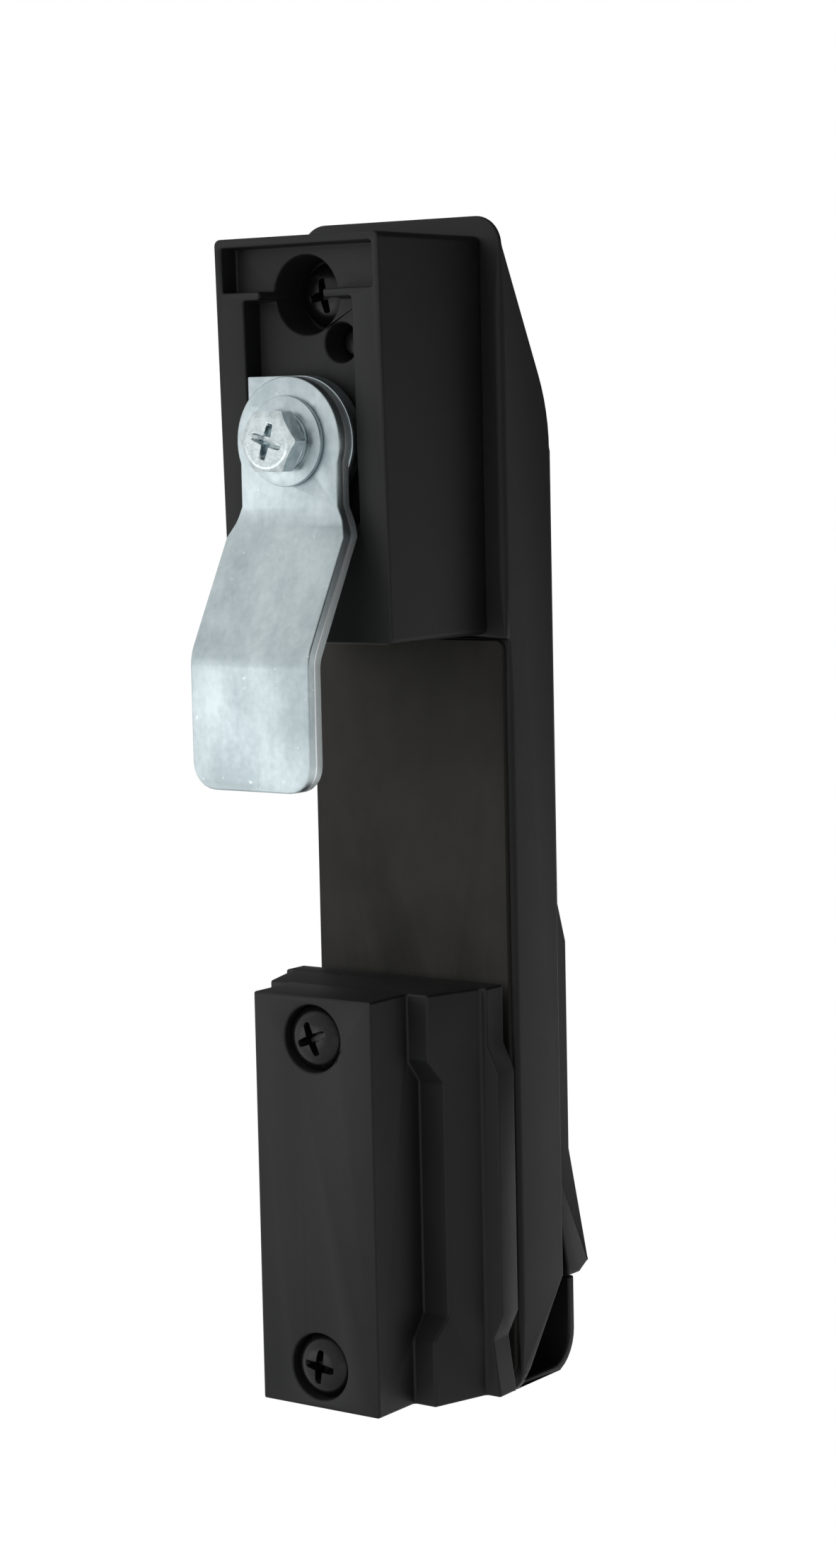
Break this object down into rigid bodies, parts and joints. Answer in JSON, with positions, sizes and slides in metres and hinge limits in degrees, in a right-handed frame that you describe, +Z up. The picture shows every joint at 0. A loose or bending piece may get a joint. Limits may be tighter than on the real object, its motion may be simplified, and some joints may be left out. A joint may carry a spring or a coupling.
{
  "type": "cabinet lock handle",
  "caption": "Lift-and-turn cabinet door handle with a long narrow base, square shaft and cranked cam, key lock at the lower end and a clamp bracket behind the door.",
  "frame": {"origin": "where the shaft's axis crosses the door face that the gasket rests on", "axes": "+Y into the cabinet along the shaft, +Z up along the base away from the key lock, +X to the left seen from behind"},
  "size_m": [0.0334, 0.0516, 0.1443],
  "materials": {
    "black_casting": "satin black coat on a zinc casting, fine grain on the rear faces",
    "gasket_rubber": "matt, dusty brownish black",
    "black_steel": "glossy black",
    "zinc_steel": "bright zinc plate, bluish",
    "spring_steel": "drawn wire",
    "bush_plastic": "natural bearing plastic",
    "lock_metal": "bright plate"
  },
  "bodies": {
    "mounting": {"base": "black_casting", "gasket": "gasket_rubber", "rear_housing": "black_casting", "housing_screw": "black_steel", "front_screw": "black_steel", "locating_pin": "black_steel", "shaft_bush": "bush_plastic", "rest_pad_left": "gasket_rubber", "rest_pad_right": "gasket_rubber", "lock_cylinder": "lock_metal", "cylinder_nut": "lock_metal", "lock_spring": "spring_steel", "clamp_bracket": "black_casting", "clamp_screw_upper": "black_steel", "clamp_screw_lower": "black_steel"},
    "spindle": {"shaft": "zinc_steel", "shaft_ring": "gasket_rubber", "shaft_clip": "black_steel", "stop_plate": "zinc_steel", "cam": "zinc_steel", "flat_washer": "zinc_steel", "spring_washer": "zinc_steel", "cam_bolt": "zinc_steel", "lift_pin": "zinc_steel"},
    "grip": {"handle": "black_casting", "handle_ear": "black_casting"},
    "plug": {"lock_plug": "lock_metal", "plug_driver": "zinc_steel", "driver_screw": "black_steel"},
    "bolt_pin": {"locking_pin": "zinc_steel"}
  },
  "joints": [
    {"name": "handle_turn", "type": "hinge", "parent": "mounting", "child": "spindle", "pos_m": [0, 0, 0], "axis": [0, -1, 0], "range_deg": [0, 90]},
    {"name": "handle_lift", "type": "hinge", "parent": "spindle", "child": "grip", "pos_m": [0, -0.0076, 0.004], "axis": [-1, 0, 0], "range_deg": [0, 40]},
    {"name": "key_turn", "type": "hinge", "parent": "mounting", "child": "plug", "pos_m": [0, 0, -0.0912], "axis": [0, -1, 0], "range_deg": [0, 90]},
    {"name": "pin_slide", "type": "slide", "parent": "mounting", "child": "bolt_pin", "axis": [0, -1, 0], "range_m": [0, 0.003], "deforming": ["lock_spring"]}
  ],
  "couplings": [
    {"joint": "pin_slide", "follows": "key_turn", "m_per_rad": 0.0019098}
  ]
}
